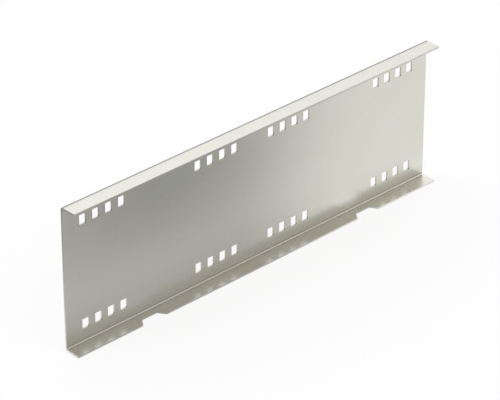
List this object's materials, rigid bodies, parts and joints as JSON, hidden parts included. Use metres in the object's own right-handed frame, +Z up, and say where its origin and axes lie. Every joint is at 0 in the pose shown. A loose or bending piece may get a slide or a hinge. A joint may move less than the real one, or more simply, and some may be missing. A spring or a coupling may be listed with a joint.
{
  "type": "cable tray connector",
  "caption": "Long folded C-section plate with groups of slots that bolts the side rails of two wide-span cable trays end to end.",
  "frame": {"origin": "centre of the web's back face, the plain face that lies on the side rail", "axes": "+X along the plate's length, +Y out of the web's back face, away from the flanges, +Z up, from the notched flange to the plain one"},
  "size_m": [0.5, 0.02, 0.163],
  "materials": {
    "plate_steel": "pale warm grey sheet, satin, with soft broad reflections"
  },
  "bodies": {
    "root": {"connector_plate": "plate_steel"}
  },
  "joints": []
}
